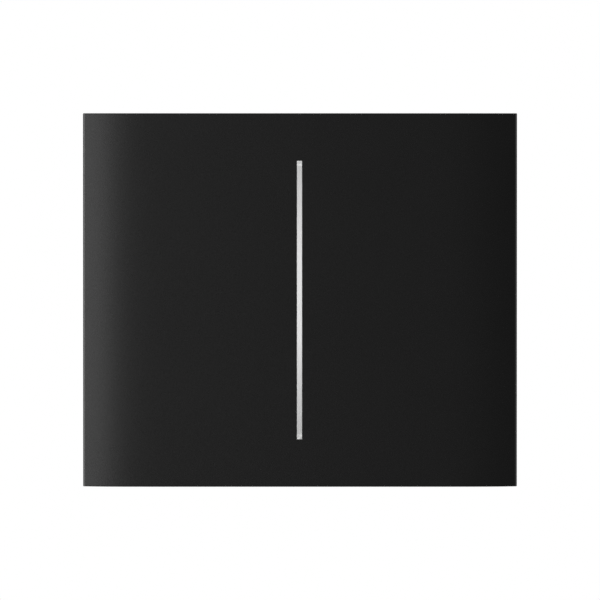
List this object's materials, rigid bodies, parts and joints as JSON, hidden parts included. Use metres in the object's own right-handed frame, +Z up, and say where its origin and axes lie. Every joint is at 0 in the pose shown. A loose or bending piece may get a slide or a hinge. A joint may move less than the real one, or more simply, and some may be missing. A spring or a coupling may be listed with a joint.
{
  "type": "rocker wall switch",
  "caption": "Wide black rocker wall switch with a lit centre line, a rocking key, sprung toggle contacts and rising-cage terminals behind it.",
  "frame": {"origin": "middle of the seating plane, where the front frame's pads rest on the wall frame", "axes": "+Z up, +X to the right as seen by the user, +Y into the wall, so the key faces -Y"},
  "size_m": [0.0674, 0.0386, 0.0581],
  "materials": {
    "black_plastic": "fine-grained matte",
    "grey_plastic": "satin moulded",
    "dark_plastic": "satin moulded",
    "white_plastic": "smooth moulded",
    "light_plastic": "frosted light guide",
    "lamp_resin": "clear resin",
    "board_green": "circuit board",
    "brass": "stamped",
    "silver": "contact alloy",
    "zinc_steel": "zinc plated",
    "spring_steel": "drawn wire"
  },
  "bodies": {
    "base": {"front_frame": "grey_plastic", "housing": "dark_plastic", "frame_screw_upper": "zinc_steel", "frame_screw_lower": "zinc_steel", "lamp_board": "board_green", "locator_lamp": "lamp_resin", "lamp_resistor": "black_plastic", "lamp_lead_left": "brass", "common_bracket_left": "brass", "fixed_strip_left": "brass", "fixed_contact_left": "silver", "lamp_lead_right": "brass", "common_bracket_right": "brass", "fixed_strip_right": "brass", "fixed_contact_right": "silver"},
    "key": {"key_cover": "black_plastic", "light_bar": "light_plastic", "key_carrier": "grey_plastic", "toggle_spring_left": "spring_steel", "toggle_spring_right": "spring_steel"},
    "plunger_left": {"toggle_plunger_left": "white_plastic"},
    "lever_left": {"contact_lever_left": "brass", "lever_contact_left": "silver"},
    "plunger_right": {"toggle_plunger_right": "white_plastic"},
    "lever_right": {"contact_lever_right": "brass", "lever_contact_right": "silver"},
    "screw_upper_left": {"clamp_screw_upper_left": "zinc_steel"},
    "cage_upper_left": {"terminal_cage_upper_left": "zinc_steel"},
    "screw_lower_left": {"clamp_screw_lower_left": "zinc_steel"},
    "cage_lower_left": {"terminal_cage_lower_left": "zinc_steel"},
    "screw_upper_right": {"clamp_screw_upper_right": "zinc_steel"},
    "cage_upper_right": {"terminal_cage_upper_right": "zinc_steel"},
    "screw_lower_right": {"clamp_screw_lower_right": "zinc_steel"},
    "cage_lower_right": {"terminal_cage_lower_right": "zinc_steel"}
  },
  "joints": [
    {"name": "key_rock", "type": "hinge", "parent": "base", "child": "key", "pos_m": [0, -0.0054, 0], "axis": [-1, 0, 0], "range_deg": [0, 6]},
    {"name": "plunger_slide_left", "type": "slide", "parent": "key", "child": "plunger_left", "axis": [0, 0.9986, 0.0523], "range_m": [-0.0008, 0], "stiffness_N_per_m": 400, "springref_m": 0.0005, "deforming": ["toggle_spring_left"]},
    {"name": "lever_rock_left", "type": "hinge", "parent": "base", "child": "lever_left", "pos_m": [-0.01, 0.0122, 0], "axis": [1, 0, 0], "range_deg": [0, 19.2]},
    {"name": "plunger_slide_right", "type": "slide", "parent": "key", "child": "plunger_right", "axis": [0, 0.9986, 0.0523], "range_m": [-0.0008, 0], "stiffness_N_per_m": 400, "springref_m": 0.0005, "deforming": ["toggle_spring_right"]},
    {"name": "lever_rock_right", "type": "hinge", "parent": "base", "child": "lever_right", "pos_m": [0.01, 0.0122, 0], "axis": [1, 0, 0], "range_deg": [0, 19.2]},
    {"name": "screw_turn_upper_left", "type": "hinge", "parent": "base", "child": "screw_upper_left", "pos_m": [-0.01, 0.0215, 0.0161], "axis": [0, -1, 0], "range_deg": [0, 1440]},
    {"name": "cage_rise_upper_left", "type": "slide", "parent": "base", "child": "cage_upper_left", "axis": [0, 1, 0], "range_m": [0, 0.0024]},
    {"name": "screw_turn_lower_left", "type": "hinge", "parent": "base", "child": "screw_lower_left", "pos_m": [-0.01, 0.0215, -0.0161], "axis": [0, -1, 0], "range_deg": [0, 1440]},
    {"name": "cage_rise_lower_left", "type": "slide", "parent": "base", "child": "cage_lower_left", "axis": [0, 1, 0], "range_m": [0, 0.0024]},
    {"name": "screw_turn_upper_right", "type": "hinge", "parent": "base", "child": "screw_upper_right", "pos_m": [0.01, 0.0215, 0.0161], "axis": [0, -1, 0], "range_deg": [0, 1440]},
    {"name": "cage_rise_upper_right", "type": "slide", "parent": "base", "child": "cage_upper_right", "axis": [0, 1, 0], "range_m": [0, 0.0024]},
    {"name": "screw_turn_lower_right", "type": "hinge", "parent": "base", "child": "screw_lower_right", "pos_m": [0.01, 0.0215, -0.0161], "axis": [0, -1, 0], "range_deg": [0, 1440]},
    {"name": "cage_rise_lower_right", "type": "slide", "parent": "base", "child": "cage_lower_right", "axis": [0, 1, 0], "range_m": [0, 0.0024]}
  ],
  "couplings": [
    {"joint": "lever_rock_left", "follows": "key_rock", "ratio": 3.2},
    {"joint": "lever_rock_right", "follows": "key_rock", "ratio": 3.2},
    {"joint": "screw_turn_upper_left", "follows": "cage_rise_upper_left", "rad_per_m": 10472},
    {"joint": "screw_turn_lower_left", "follows": "cage_rise_lower_left", "rad_per_m": 10472},
    {"joint": "screw_turn_upper_right", "follows": "cage_rise_upper_right", "rad_per_m": 10472},
    {"joint": "screw_turn_lower_right", "follows": "cage_rise_lower_right", "rad_per_m": 10472}
  ]
}
